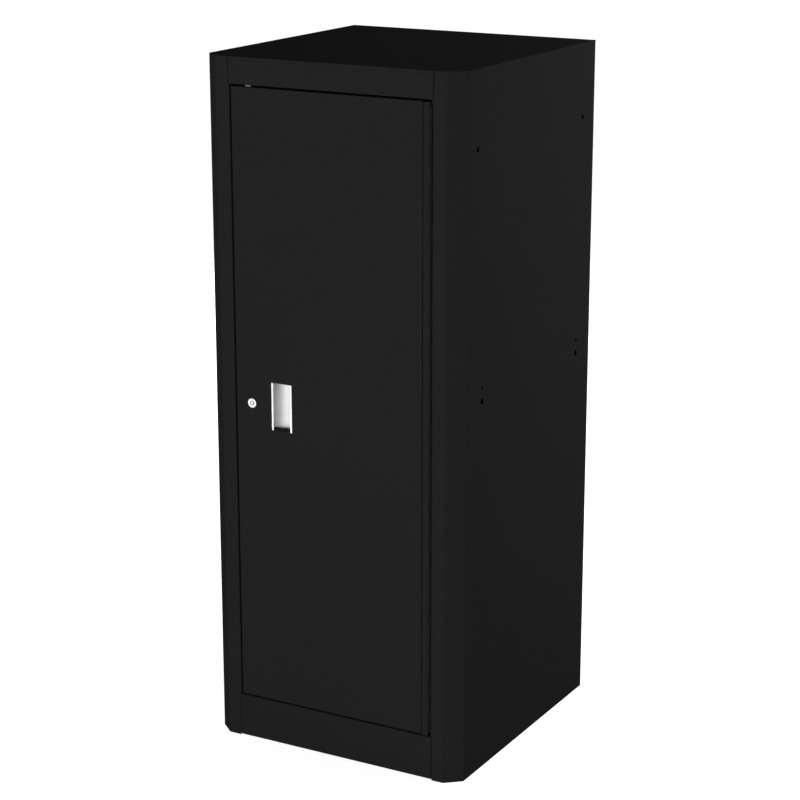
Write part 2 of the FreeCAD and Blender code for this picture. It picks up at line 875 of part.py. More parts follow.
def make_hinge():
    """Piano hinge: folded frame leaf with every odd knuckle, door leaf with every even one, pin."""
    pitch = knuckle_pitch()
    bore = s.hinge_pin_radius + s.running_gap
    web_front = hinge_y + s.knuckle_radius - s.leaf

    def knuckle(body, name, first, web_x, web_y, count):
        low = barrel_bottom + pitch * first + s.knuckle_gap / 2
        high = low + pitch - s.knuckle_gap
        web = pad(body, f"{name}_web", "XY_Plane", low, high,
                  lambda sketch: draw_rectangle(sketch, web_x, web_y))
        repeat_up(body, f"{name}_webs", web, pitch * 2 * (count - 1), count)
        barrel = pad(body, f"{name}_barrel", "XY_Plane", low, high,
                     lambda sketch: draw_circle(sketch, (hinge_x, hinge_y), s.knuckle_radius))
        repeat_up(body, f"{name}_barrels", barrel, pitch * 2 * (count - 1), count)
        pocket(body, f"{name}_bore", "XY_Plane", leaf_bottom, leaf_top,
               lambda sketch: draw_circle(sketch, (hinge_x, hinge_y), bore))

    frame = new_body("hinge_frame_body")
    frame_low = s.opening_bottom + s.nest_gap
    frame_high = opening_top - s.nest_gap
    pad(frame, "frame_leaf_plate", "XY_Plane", frame_low, frame_high,
        lambda sketch: draw_rectangle(sketch, (right_edge - s.leaf, right_edge),
                                      (web_front, front + s.frame_leaf_depth)))
    knuckle(frame, "frame_knuckle", 0, (hinge_x, right_edge),
            (web_front, web_front + s.leaf), s.knuckle_pairs + 1)
    fold = hinge_x + s.knuckle_radius + s.knuckle_side_gap
    pad(frame, "frame_leaf_fold", "XY_Plane", frame_low, frame_high,
        lambda sketch: draw_rectangle(sketch, (fold, right_edge), (web_front, web_front + s.leaf)))
    pad(frame, "frame_leaf_end", "XY_Plane", leaf_end, frame_high,
        lambda sketch: draw_rectangle(sketch, (hinge_x + s.frame_leaf_end, right_edge),
                                      (web_front, web_front + s.leaf)))
    rivet_holes(frame, "frame_leaf", right_edge - 2 * s.leaf, right_edge + s.leaf)
    node(frame, "hinge_frame_leaf")

    door = new_body("hinge_door_body")
    leaf_y = (skin_inner, skin_inner + s.leaf)
    plate_end = hinge_x - s.knuckle_radius - s.knuckle_relief
    strip_start = skin_right + s.nest_gap
    pad(door, "door_leaf_strip", "XY_Plane", leaf_bottom, leaf_top,
        lambda sketch: draw_rectangle(sketch, (strip_start, plate_end), leaf_y))
    shy = s.door_bend + s.nest_gap
    pad(door, "door_leaf_root", "XY_Plane", door_bottom + shy, door_top - shy,
        lambda sketch: draw_rectangle(sketch, (hinge_x - s.door_leaf_width, strip_start), leaf_y))
    knuckle(door, "door_knuckle", 1, (plate_end - s.leaf, hinge_x - s.hinge_pin_radius),
            leaf_y, s.knuckle_pairs)
    pad(door, "door_leaf_end", "XY_Plane", leaf_end, leaf_top,
        lambda sketch: draw_rectangle(sketch, (plate_end - s.leaf, hinge_x + s.door_leaf_end),
                                      leaf_y))
    node(door, "hinge_door_leaf")

    pin = rod_along("pin", "Z", s.hinge_pin_radius, (hinge_x, hinge_y, barrel_bottom),
                    barrel_top - barrel_bottom)
    node(pin, "hinge_pin")


def make_hinge_rivets():
    """Blind rivets through the frame leaf and the jamb."""
    rivets = []
    for number, height in enumerate(rivet_heights(), start=1):
        middle = front + s.rivet_depth
        leaf_face = right_edge - s.leaf
        inside = right_edge + s.wall
        head = rod_along(f"rivet_{number}_head", "X", s.rivet_head_radius,
                         (leaf_face - s.rivet_head, middle, height), s.rivet_head)
        shank = rod_along(f"rivet_{number}_shank", "X", s.rivet_radius,
                          (leaf_face - s.rivet_head, middle, height),
                          s.rivet_head + s.leaf + s.wall + s.rivet_tail)
        tail = rod_along(f"rivet_{number}_tail", "X", s.rivet_tail_radius,
                         (inside, middle, height), s.rivet_tail)
        rivets.append(fuse(f"rivet_{number}", head, shank, tail))
    node(group("rivet_group", rivets), "hinge_rivets")


def make_door_skin():
    """Door front with returns at the latch side, top and bottom; its hinge edge lies on the leaf."""
    body = new_body("door_skin_body")
    pad(body, "skin_block", "XY_Plane", door_bottom, door_top,
        lambda sketch: draw_rectangle(sketch, (door_left, skin_right), (front, door_back)))

    def folded(edge):
        bounds = edge.BoundBox
        on_front = near(bounds.YMax, front) and not near(bounds.XMin, skin_right)
        corner = near(bounds.XMax, door_left) and bounds.YLength > s.wall.number
        return on_front or corner

    round_edges(body, "skin_bends", s.door_bend, folded)
    shell(body, "skin_pan",
          lambda face: near(face.BoundBox.YMin, door_back) or near(face.BoundBox.XMin, skin_right))
    pocket(body, "skin_lock_hole", "XZ_Plane", front - s.wall, front + 2 * s.wall,
           lambda sketch: draw_circle(sketch, (lock_x, lock_z), s.lock_body_radius + s.lock_hole_gap))
    pull = pull_places()
    pocket(body, "skin_pull_cutout", "XZ_Plane", front - s.wall, front + 2 * s.wall,
           lambda sketch: draw_rectangle(
               sketch, (pull.inner_left - s.pull_wall - s.cutout_gap,
                        pull.inner_right + s.pull_wall + s.cutout_gap),
               (pull.low, pull.high)))
    rod_slot(body, "skin_top_slot", door_top - 2 * s.wall, door_top + s.wall)
    rod_slot(body, "skin_bottom_slot", door_bottom - s.wall, door_bottom + 2 * s.wall)
    node(body, "door_skin")


def make_door_inner():
    """Inner pan that closes the back of the door and stiffens its hinge edge."""
    shy = s.wall + s.nest_gap
    low = door_bottom + shy
    high = door_top - shy
    left = door_left + shy
    right = hinge_x - s.knuckle_radius - s.knuckle_relief
    start = skin_inner + s.leaf + s.nest_gap
    body = new_body("door_inner_body")
    pad(body, "inner_block", "XY_Plane", low, high,
        lambda sketch: draw_rectangle(sketch, (left, right), (start, door_back)))
    round_edges(body, "inner_bends", s.door_bend,
                lambda edge: near(edge.BoundBox.YMin, door_back))
    shell(body, "inner_pan", lambda face: near(face.BoundBox.YMax, start))
    rod_slot(body, "inner_top_slot", high - 2 * s.wall, high + s.wall)
    rod_slot(body, "inner_bottom_slot", low - s.wall, low + 2 * s.wall)
    node(body, "door_inner_panel")


def make_stiffener():
    """Hat channel between the door's two sheets."""
    middle = (door_left + skin_right) / 2 + s.stiffener_offset
    wide = s.stiffener_width / 2
    foot = wide + s.stiffener_flange
    crown = door_back - s.wall - s.nest_gap
    right_half = [
        (foot, skin_inner),
        (foot, skin_inner + s.wall),
        (wide + s.wall, skin_inner + s.wall),
        (wide + s.wall, crown),
    ]
    right_inner = [(wide, crown - s.wall), (wide, skin_inner)]
    outer = right_half + [(-x, y) for x, y in reversed(right_half)]
    inner = [(-x, y) for x, y in reversed(right_inner)] + right_inner
    outline = [(middle + x, y) for x, y in outer + inner]
    body = new_body("stiffener_body")
    pad(body, "stiffener_hat", "XY_Plane", door_bottom + s.stiffener_inset,
        door_top - s.stiffener_inset, lambda sketch: draw_outline(sketch, outline))
    node(body, "door_stiffener")


def pull_places():
    """Places of the recessed pull; low and high are the ends of its lips and of the cut-out."""
    left = door_left + s.pull_inset
    right = left + s.pull_width
    radius = s.pull_width / 2 - s.lip_width
    return SimpleNamespace(
        left=left,
        right=right,
        inner_left=left + s.lip_width,
        inner_right=right - s.lip_width,
        low=s.pull_bottom,
        high=s.pull_bottom + s.pull_height,
        face=front - s.pull_proud,
        radius=radius,
        middle=(left + right) / 2,
        centre=front - s.pull_proud + s.pull_depth - radius,
    )


def trough(name, pull, grow, mouth_start, low, high):
    """Upright solid with a straight mouth and a half-round bottom."""
    mouth = box(f"{name}_mouth", (pull.inner_left - grow, pull.inner_right + grow),
                (mouth_start, pull.centre), (low, high))
    bottom = rod_along(f"{name}_bottom", "Z", pull.radius + grow,
                       (pull.middle, pull.centre, low), as_size(high) - low)
    bottom.Angle = 180
    return fuse(name, mouth, bottom)


def make_pull():
    """Extruded trough with a lip on each side, an end cap on each end and two clips behind."""
    pull = pull_places()
    low = pull.low + s.cutout_gap
    high = pull.high - s.cutout_gap
    outer = trough("pull_outer", pull, s.pull_wall, pull.face, low, high)
    lips = box("pull_lips", (pull.left, pull.right), (pull.face, front), (pull.low, pull.high))
    hollow = trough("pull_hollow", pull, 0, pull.face, pull.low - s.wall, pull.high + s.wall)
    slot = box("pull_mouth_slot", (pull.inner_left, pull.inner_right), (pull.face - s.wall, front),
               (pull.low - s.wall, pull.high + s.wall))
    body = fuse("pull_body", outer, lips)
    node(cut("pull", body, hollow, slot), "pull_trough")

    cap_face = pull.face + s.cap_recess
    lid_face = skin_inner + s.cutout_gap
    lid = trough("lower_cap_lid", pull, s.pull_wall, lid_face, low - s.cap_thickness, low)
    sill = box("lower_cap_sill", (pull.inner_left + s.cap_fit, pull.inner_right - s.cap_fit),
               (cap_face, lid_face + s.cap_wall), (low, pull.low + s.cap_sill))
    lower_cap = fuse("lower_cap", lid, sill)
    upper_cap = trough("upper_cap", pull, s.pull_wall, lid_face, high, high + s.cap_thickness)
    node(group("pull_cap_group", [lower_cap, upper_cap]), "pull_end_caps")

    middle = (pull.low + pull.high) / 2
    tall = (middle - s.clip_length / 2, middle + s.clip_length / 2)
    clips = []
    walls = ((-1, pull.inner_left - s.pull_wall), (1, pull.inner_right + s.pull_wall))
    for side, wall in walls:
        foot_x = [wall, wall + side * s.clip_foot][::side]
        leg_x = [wall, wall + side * s.clip_sheet][::side]
        foot = box(f"pull_clip_foot_{side + 1}", foot_x, (skin_inner, skin_inner + s.clip_sheet), tall)
        leg = box(f"pull_clip_leg_{side + 1}", leg_x, (skin_inner, skin_inner + s.clip_leg), tall)
        clips.append(fuse(f"pull_clip_{side + 1}", foot, leg))
    node(group("pull_clip_group", clips), "pull_clips")


def lock_ring(name, radius, low, length):
    """Cylinder on the lock's axis, from a size along Y."""
    return rod_along(name, "Y", radius, (lock_x, low, lock_z), length)


def lock_circle(radius):
    """Drawing of one circle on the lock's axis."""
    return lambda sketch: draw_circle(sketch, (lock_x, lock_z), radius)


def make_lock_housing():
    """Round head on the skin, a shank through it and a stepped bore for the plug."""
    face = front - s.lock_proud
    end = front + s.lock_body_end
    body = new_body("housing_body")
    pad(body, "housing_head", "XZ_Plane", face, front, lock_circle(s.lock_head_radius))
    round_edges(body, "housing_rim", s.lock_head_round,
                lambda edge: near(edge.BoundBox.YMax, face))
    pad(body, "housing_shank", "XZ_Plane", front, end, lock_circle(s.lock_body_radius))
    pocket(body, "housing_mouth", "XZ_Plane", face, face + s.lock_lip,
           lock_circle(s.plug_nose_radius + s.running_gap))
    pocket(body, "housing_bore", "XZ_Plane", face + s.lock_lip, end,
           lock_circle(s.plug_radius + s.running_gap))
    node(body, "lock_housing")


def make_lock_nut():
    """Hexagon nut that holds the housing against the skin."""
    nut = doc.addObject("Part::Prism", "nut_hexagon")
    nut.Polygon = 6
    nut.Placement = Placement(Vector(), Rotation(Vector(1, 0, 0), -90))
    bind(nut, "Circumradius", s.nut_across / root(as_size(3)))
    bind(nut, "Height", s.nut_thickness)
    put(nut, lock_x, skin_inner, lock_z)
    thread = lock_ring("nut_thread", s.lock_body_radius + s.nut_gap, front, s.door_depth)
    node(cut("nut", nut, thread), "lock_nut")


def make_lock_plug():
    """Turning plug with a ring-shaped keyway and a tail for the cam."""
    face = front - s.lock_proud
    end = front + s.lock_body_end
    nose_face = face + s.plug_recess
    shoulder = face + s.lock_lip + s.running_gap
    nose = lock_ring("plug_nose", s.plug_nose_radius, nose_face, shoulder - nose_face)
    core = lock_ring("plug_core", s.plug_radius, shoulder, end - shoulder)
    tail = lock_ring("plug_tail", s.plug_tail_radius, end, cam_back - end)
    mouth = nose_face - s.wall
    key_ring = lock_ring("key_ring", s.key_ring_radius, mouth, s.key_depth + s.wall)
    key_post = lock_ring("key_post", s.key_post_radius, mouth, s.key_depth + 2 * s.wall)
    keyway = cut("keyway", key_ring, key_post)
    notch_start = lock_x + s.key_post_radius + s.running_gap
    notch_end = lock_x + s.key_ring_radius + s.key_notch_depth
    notch = box("key_notch", (notch_start, notch_end), (mouth, nose_face + s.key_depth),
                (lock_z - s.key_notch_width / 2, lock_z + s.key_notch_width / 2))
    hole_start = cam_back - s.cam_screw_length - s.cam_fit
    hole = lock_ring("plug_screw_hole", s.cam_screw_radius + s.cam_fit, hole_start,
                     cam_back + s.wall - hole_start)
    node(cut("plug", fuse("plug_solid", nose, core, tail), keyway, notch, hole), "lock_plug")


def make_lock_cam():
    """Two-armed cam, slanted at rest, with one pin for each rod, and its screw."""
    reach = pin_rest
    across = s.cam_arm_width / (2 * root(as_size(2)))
    arm = [
        (lock_x + reach + across, lock_z - reach + across),
        (lock_x - reach + across, lock_z + reach + across),
        (lock_x - reach - across, lock_z + reach - across),
        (lock_x + reach - across, lock_z - reach - across),
    ]
    spots = [(lock_x + reach, lock_z - reach), (lock_x - reach, lock_z + reach)]

    def at_spots(radius):
        def draw(sketch):
            for spot in spots:
                draw_circle(sketch, spot, radius)
        return draw

    body = new_body("cam_body")
    pad(body, "cam_arm", "XZ_Plane", cam_front, cam_back, lambda sketch: draw_outline(sketch, arm))
    pad(body, "cam_hub", "XZ_Plane", cam_front, cam_back, lock_circle(s.cam_hub_radius))
    pad(body, "cam_ends", "XZ_Plane", cam_front, cam_back, at_spots(s.cam_arm_width / 2))
    pad(body, "cam_pins", "XZ_Plane", cam_back, cam_back + s.cam_pin_length,
        at_spots(s.cam_pin_radius))
    pocket(body, "cam_hole", "XZ_Plane", cam_front, cam_back,
           lock_circle(s.plug_tail_radius + s.cam_fit))
    node(body, "lock_cam")

    shank = lock_ring("cam_screw_shank", s.cam_screw_radius, cam_back - s.cam_screw_length,
                      s.cam_screw_length + s.cam_screw_head_height)
    head = lock_ring("cam_screw_cap", s.cam_screw_head, cam_back, s.cam_screw_head_height)
    node(fuse("screw", shank, head), "cam_screw")


def make_rod(label, side, tip):
    """Flat lock rod: slotted leg at the cam, cross bar, and a strip joggled forward to the gap."""
    body = new_body(f"{label}_body")
    near_cam = rod_back_face
    far = front + s.rod_front
    bar_low = lock_z + side * s.rod_bar_start
    bar_high = bar_low + side * s.rod_bar_height
    bend = lock_z + side * s.rod_joggle_start
    straight = bend + side * s.rod_joggle
    strip = [
        (near_cam, bar_low),
        (near_cam, bend),
        (far, straight),
        (far, tip),
        (far + s.rod_thickness, tip),
        (far + s.rod_thickness, straight),
        (near_cam + s.rod_thickness, bend),
        (near_cam + s.rod_thickness, bar_low),
    ]
    pad(body, f"{label}_strip", "YZ_Plane", rod_x - s.rod_width / 2, rod_x + s.rod_width / 2,
        lambda sketch: draw_outline(sketch, strip))
    slack = s.cam_pin_radius + s.rod_pin_slack
    around = slack + s.rod_leg_web
    inner = lock_x + side * (pin_rest - around)
    outer = lock_x + side * (s.cam_pin_circle + around)
    strip_edge = rod_x - side * s.rod_width / 2
    slot_z = lock_z - side * pin_rest
    leg_end = slot_z - side * around
    outline = [
        (strip_edge, bar_high),
        (strip_edge, bar_low),
        (inner, bar_low),
        (inner, leg_end),
        (outer, leg_end),
        (outer, bar_high),
    ]
    pad(body, f"{label}_leg", "XZ_Plane", near_cam, near_cam + s.rod_thickness,
        lambda sketch: draw_outline(sketch, outline))
    slot_x = [lock_x + side * (pin_rest - slack), lock_x + side * (s.cam_pin_circle + slack)][::side]
    pocket(body, f"{label}_slot", "XZ_Plane", near_cam - s.wall, near_cam + s.rod_thickness + s.wall,
           lambda sketch: draw_rectangle(sketch, slot_x, (slot_z - slack, slot_z + slack)))
    node(body, label)


def make_guide(label, low):
    """Moulded guide on the skin that a rod slides through."""
    side = s.rod_width / 2 + s.guide_fit
    block = box(f"{label}_block", (rod_x - side - s.guide_side, rod_x + side + s.guide_side),
                (skin_inner, front + s.rod_front + s.rod_thickness + s.guide_fit + s.guide_cap),
                (low, low + s.guide_height))
    hole = box(f"{label}_hole", (rod_x - side, rod_x + side),
               (front + s.rod_front - s.guide_fit, front + s.rod_front + s.rod_thickness + s.guide_fit),
               (low - s.wall, low + s.guide_height + s.wall))
    node(cut(f"{label}_cut", block, hole), label)


def make_rods():
    """Upper and lower lock rods and their guides."""
    make_rod("upper_lock_rod", 1, opening_top - s.rod_top_clear)
    make_rod("lower_lock_rod", -1, door_bottom - s.rod_bottom_show)
    make_guide("upper_rod_guide", door_top - s.guide_inset - s.guide_height)
    make_guide("lower_rod_guide", door_bottom + s.guide_inset)


def make_bumpers():
    """Rubber buttons on the stop flange that the closed door meets."""
    x = left_edge + s.bumper_inset
    buttons = []
    for name, z in (("lower", door_bottom + s.bumper_height), ("upper", door_top - s.bumper_height)):
        buttons.append(rod_along(f"{name}_bumper", "Y", s.bumper_radius,
                                 (x, door_back + s.bumper_gap, z),
                                 stop_face - door_back - s.bumper_gap))
    node(group("bumper_group", buttons), "door_bumpers")


def make_catch():
    """Magnetic catch behind the stop flange, its screws, and the strike plate on the door."""
    strike_left = left_edge + s.stop_flange + s.catch_wall_gap
    low = s.catch_centre - s.catch_height / 2
    high = s.catch_centre + s.catch_height / 2
    face = door_back + s.strike_thickness + s.catch_gap
    body = box("catch_body", (strike_left, strike_left + s.catch_width),
               (face, face + s.catch_depth), (low, high))
    jamb_back = front + s.jamb_depth
    ear = box("catch_ear", (left_edge + s.catch_wall_gap, strike_left),
              (jamb_back, jamb_back + s.catch_ear_thickness), (low, high))
    seat = jamb_back + s.catch_ear_thickness
    drills = []
    screws = []
    for name, (x, z) in zip(("lower", "upper"), catch_screw_places()):
        tip = stop_face - s.catch_screw_tip
        drills.append(rod_along(f"catch_{name}_drill", "Y", s.catch_screw_radius + s.running_gap,
                                (x, tip, z), seat + s.wall - tip))
        shank = rod_along(f"catch_{name}_shank", "Y", s.catch_screw_radius, (x, tip, z), seat - tip)
        cap = rod_along(f"catch_{name}_cap", "Y", s.catch_screw_head, (x, seat, z),
                        s.catch_screw_head_height)
        screws.append(fuse(f"catch_{name}_screw", shank, cap))
    node(cut("catch_drilled", fuse("catch", body, ear), *drills), "magnet_catch")

    plate = box("strike", (strike_left - s.wall, strike_left - s.wall + s.strike_width),
                (door_back, door_back + s.strike_thickness),
                (s.catch_centre - s.strike_height / 2, s.catch_centre + s.strike_height / 2))
    node(plate, "strike_plate")
    node(group("catch_screw_group", screws), "catch_screws")


def check_and_write():
    """Stop on any failed object, then write one file for each sub-part."""
    doc.recompute()
    failed = [item.Name for item in doc.Objects
              if "Invalid" in item.State or "Error" in item.State]
    if failed:
        raise RuntimeError(f"failed objects: {failed}")
    os.makedirs("parts", exist_ok=True)
    for item in nodes:
        shape = item.Shape
        if shape.isNull() or not shape.isValid() or not shape.Solids:
            raise RuntimeError(f"bad shape: {item.Label}")
        shape.exportStep(f"parts/{item.Label}.step")
    print(len(nodes), "sub-parts written")


make_sides()
make_back()
make_top()
make_header()
make_kick()
make_floor()
make_standards()
make_shelves()
make_hinge()
make_hinge_rivets()
make_door_skin()
make_door_inner()
make_stiffener()
make_pull()
make_lock_housing()
make_lock_nut()
make_lock_plug()
make_lock_cam()
make_rods()
make_bumpers()
make_catch()
check_and_write()
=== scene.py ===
# %% [markdown]
# # A tool chest side locker
# The locker is a tall steel cabinet that is bolted to the side of a tool chest. Its sheet
# metal, hinge and lock come from an engineering model, which is loaded first and is never
# changed. Blender then gives it what drawings leave out: paint with a skin, plated metal,
# moulded parts, and small turned pieces with real edges.

# %% Load the model
import json
import math

import bmesh
import bpy
from mathutils import Matrix, Vector


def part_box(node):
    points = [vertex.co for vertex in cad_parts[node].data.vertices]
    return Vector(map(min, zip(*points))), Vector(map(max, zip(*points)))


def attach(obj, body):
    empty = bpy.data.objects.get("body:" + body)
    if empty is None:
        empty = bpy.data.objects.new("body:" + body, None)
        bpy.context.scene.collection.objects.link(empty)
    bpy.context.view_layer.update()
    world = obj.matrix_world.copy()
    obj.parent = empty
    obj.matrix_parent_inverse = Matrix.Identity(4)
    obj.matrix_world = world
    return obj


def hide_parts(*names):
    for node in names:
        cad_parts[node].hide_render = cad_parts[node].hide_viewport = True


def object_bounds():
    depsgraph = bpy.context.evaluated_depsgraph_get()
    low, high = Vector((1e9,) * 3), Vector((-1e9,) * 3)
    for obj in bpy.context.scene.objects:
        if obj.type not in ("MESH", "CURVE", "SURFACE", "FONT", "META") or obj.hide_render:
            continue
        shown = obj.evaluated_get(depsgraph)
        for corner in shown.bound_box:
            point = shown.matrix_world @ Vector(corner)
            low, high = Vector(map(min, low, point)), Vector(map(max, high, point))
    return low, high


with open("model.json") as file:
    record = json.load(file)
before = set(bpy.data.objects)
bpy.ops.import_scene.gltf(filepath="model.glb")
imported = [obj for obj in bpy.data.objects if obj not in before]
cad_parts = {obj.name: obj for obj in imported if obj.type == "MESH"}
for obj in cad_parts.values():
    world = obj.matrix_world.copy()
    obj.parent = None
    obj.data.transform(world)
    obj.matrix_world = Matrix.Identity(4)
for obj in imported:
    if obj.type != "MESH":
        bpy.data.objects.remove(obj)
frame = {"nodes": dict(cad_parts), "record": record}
model_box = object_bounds()
MM = 0.001
nodes = frame["nodes"]

# %% [markdown]
# ## Camera
# A product picture is taken from far away with a long lens, so that upright edges stay
# nearly parallel. The camera looks at the middle of the cabinet from its right front. It is
# placed by its angles and its distance, with a small step sideways and up that sets where
# the cabinet stands in the square frame.

# %% Camera
AZIMUTH = math.radians(29.197)
ELEVATION = math.radians(15.844)
DISTANCE = 3.63221
STEP_SIDE = -0.00573
STEP_UP = -0.01602
LENS = 99.9
SENSOR = 36.0
AIM = Vector((0.0, 0.000985, 0.559))


def make_camera():
    """Camera from its angles, with its axes as the columns of its matrix."""
    right = Vector((math.cos(AZIMUTH), math.sin(AZIMUTH), 0.0))
    back = Vector((math.sin(AZIMUTH) * math.cos(ELEVATION),
                   -math.cos(AZIMUTH) * math.cos(ELEVATION),
                   math.sin(ELEVATION)))
    up = back.cross(right)
    data = bpy.data.cameras.new("camera")
    data.lens = LENS
    data.sensor_width = SENSOR
    data.clip_end = 100.0
    camera = bpy.data.objects.new("camera", data)
    place = AIM + right * STEP_SIDE + up * STEP_UP + back * DISTANCE
    turn = Matrix((right, up, back)).transposed().to_4x4()
    camera.matrix_world = Matrix.Translation(place) @ turn
    bpy.context.scene.collection.objects.link(camera)
    bpy.context.scene.camera = camera
    return camera


camera = make_camera()
print("camera at", [round(value, 3) for value in camera.matrix_world.translation])

# %% [markdown]
# ## Shader maths
# A material is a graph of nodes, and arithmetic on paper turns into Math nodes in that
# graph. Writing the graph node by node hides the formula. So a small class wraps a socket
# and gives it Python's operators, and each expression adds the nodes it needs. The Mix node
# has sockets for numbers, vectors and colours under the same names, so its colour sockets
# are called by their places.

# %% Shader maths
MIX_FIRST, MIX_SECOND = 6, 7
MIX_RESULT = 2


class Value:
    """An output socket that can be used in Python arithmetic."""

    def __init__(self, graph, socket):
        self.graph = graph
        self.socket = socket

    def math(self, operation, *others):
        inputs = dict(enumerate((self, *others)))
        return self.graph.add("ShaderNodeMath", {"operation": operation}, inputs)

    def __add__(self, other):
        return self.math("ADD", other)

    def __radd__(self, other):
        return self.math("ADD", other)

    def __sub__(self, other):
        return self.math("SUBTRACT", other)

    def __rsub__(self, other):
        return self.graph.add("ShaderNodeMath", {"operation": "SUBTRACT"}, {0: other, 1: self})

    def __mul__(self, other):
        return self.math("MULTIPLY", other)

    def __rmul__(self, other):
        return self.math("MULTIPLY", other)

    def __truediv__(self, other):
        return self.math("DIVIDE", other)

    def absolute(self):
        return self.math("ABSOLUTE")

    def clamp(self):
        return self.math("MAXIMUM", 0.0).math("MINIMUM", 1.0)

    def swing(self, span):
        """A noise of 0 to 1 as a value that swings about zero, by span from end to end."""
        return (self - 0.5) * span

    def rise(self, low, high):
        """0 below low, 1 above high, and a smooth step between."""
        settings = {"interpolation_type": "SMOOTHSTEP"}
        return self.graph.add("ShaderNodeMapRange", settings,
                              {"Value": self, "From Min": low, "From Max": high})


class Graph:
    """The node tree of one material or world."""

    def __init__(self, owner):
        owner.use_nodes = True
        self.tree = owner.node_tree
        self.tree.nodes.clear()

    def add(self, kind, settings=None, inputs=None, output=0):
        """Add a node: its settings first, then the values or links of its inputs."""
        node = self.tree.nodes.new(kind)
        for name, setting in (settings or {}).items():
            setattr(node, name, setting)
        for name, given in (inputs or {}).items():
            if isinstance(given, Value):
                self.tree.links.new(given.socket, node.inputs[name])
            else:
                node.inputs[name].default_value = given
        return Value(self, node.outputs[output]) if node.outputs else node

    def part(self, value, output):
        """Another output of the node that a value comes from."""
        return Value(self, value.socket.node.outputs[output])

    def axes(self):
        """The three coordinates of a point in the model's frame, in metres."""
        place = self.add("ShaderNodeTexCoord", output="Object")
        split = self.add("ShaderNodeSeparateXYZ", None, {0: place})
        return place, split, self.part(split, "Y"), self.part(split, "Z")

    def noise(self, place, scale, detail=3.0, stretch=None):
        """Noise with features of about 1 / scale metres, longer along some axes if asked."""
        if stretch:
            place = self.add("ShaderNodeVectorMath", {"operation": "MULTIPLY"},
                             {0: place, 1: stretch})
        return self.add("ShaderNodeTexNoise", None,
                        {"Vector": place, "Scale": scale, "Detail": detail})

    def tint(self, factor, first, second):
        """Mix of two colours, each a link or three numbers."""
        first, second = (colour if isinstance(colour, Value) else (*colour, 1.0)
                         for colour in (first, second))
        return self.add("ShaderNodeMix", {"data_type": "RGBA"},
                        {"Factor": factor, MIX_FIRST: first, MIX_SECOND: second},
                        output=MIX_RESULT)

    def bump(self, height, depth):
        """Normal from a height of 0 to 1 that stands for a depth in metres."""
        return self.add("ShaderNodeBump", None,
                        {"Height": height, "Distance": depth, "Strength": 1.0})


def surface(name, **sockets):
    """Material with one Principled shader; a function gives it its varying inputs."""
    material = bpy.data.materials.new(name)
    graph = Graph(material)
    build = sockets.pop("build")
    inputs = {key.replace("_", " "): value for key, value in sockets.items()}
    inputs.update(build(graph))
    shader = graph.add("ShaderNodeBsdfPrincipled", None, inputs)
    graph.add("ShaderNodeOutputMaterial", None, {"Surface": shader})
    return material


print("shader maths ready")

# %% [markdown]
# ## Powder coat
# The sheet metal is sprayed with black powder that melts into a skin in an oven. Close up
# the skin is not flat: it has a slight orange peel, about a millimetre and a half across.
# From further off its gloss drifts a little, where the powder lay thicker. A noise at each
# scale gives both. The spot welds behind the seams show as shallow dimples in the skin.

# %% Powder coat
PAINT = 0.0158
PAINT_ROUGH = 0.52
UNEVEN = 0.06
DRIFT_SCALE, DRIFT_SHARE, DRIFT_ROUGH = 6.0, 0.7, 0.08
GRAIN_SCALE, GRAIN_SHARE, GRAIN_ROUGH = 230.0, 0.3, 0.06
PEEL_SCALE, PEEL_DEPTH = 620.0, 0.00006
WELD_PITCH = 0.062
WELD_FLOOR, WELD_RADIUS = 0.00112, 0.0032
WELD_DEPTH = 0.00025
FLANGE_FROM, FLANGE_TO = 0.2, 0.21


def paint_skin(graph, place):
    """Colour, roughness and orange peel of the black powder coat."""
    drift = graph.noise(place, DRIFT_SCALE)
    grain = graph.noise(place, GRAIN_SCALE, 2.0)
    peel = graph.noise(place, PEEL_SCALE, 1.0)
    dark = PAINT * (1 - UNEVEN)
    light = PAINT * (1 + UNEVEN)
    level = drift * DRIFT_SHARE + grain * GRAIN_SHARE
    colour = graph.tint(level, (dark,) * 3, (light,) * 3)
    rough = PAINT_ROUGH + drift.swing(DRIFT_ROUGH) + grain.swing(GRAIN_ROUGH)
    return colour, rough, peel


def plain_paint(graph):
    place = graph.axes()[0]
    colour, rough, peel = paint_skin(graph, place)
    return {"Base Color": colour, "Roughness": rough, "Normal": graph.bump(peel, PEEL_DEPTH)}


def welded_paint(line_x):
    """Paint with a column of weld dimples at a distance of line_x from the middle."""

    def build(graph):
        place, x, y, z = graph.axes()
        colour, rough, peel = paint_skin(graph, place)
        up = ((z / WELD_PITCH).math("FRACT") - 0.5) * WELD_PITCH
        across = x.absolute() - line_x
        far = (up * up + across * across).math("SQRT")
        dimple = far.rise(WELD_FLOOR, WELD_RADIUS)
        behind = y.rise(FLANGE_FROM, FLANGE_TO)
        height = peel * (PEEL_DEPTH / WELD_DEPTH) + 1.0 - (1.0 - dimple) * behind
        return {"Base Color": colour, "Roughness": rough,
                "Normal": graph.bump(height, WELD_DEPTH)}
    return build


FLANGE_MIDDLE = 0.0095
FLANGE_LINE = model_box[1][0] - FLANGE_MIDDLE
MATT = {"Specular_IOR_Level": 0.0}
powder_coat = surface("powder_coat", build=plain_paint, **MATT)
welded_coat = surface("powder_coat_welded", build=welded_paint(FLANGE_LINE), **MATT)
print("weld dimples at", round(FLANGE_LINE / MM, 1), "mm from the middle")
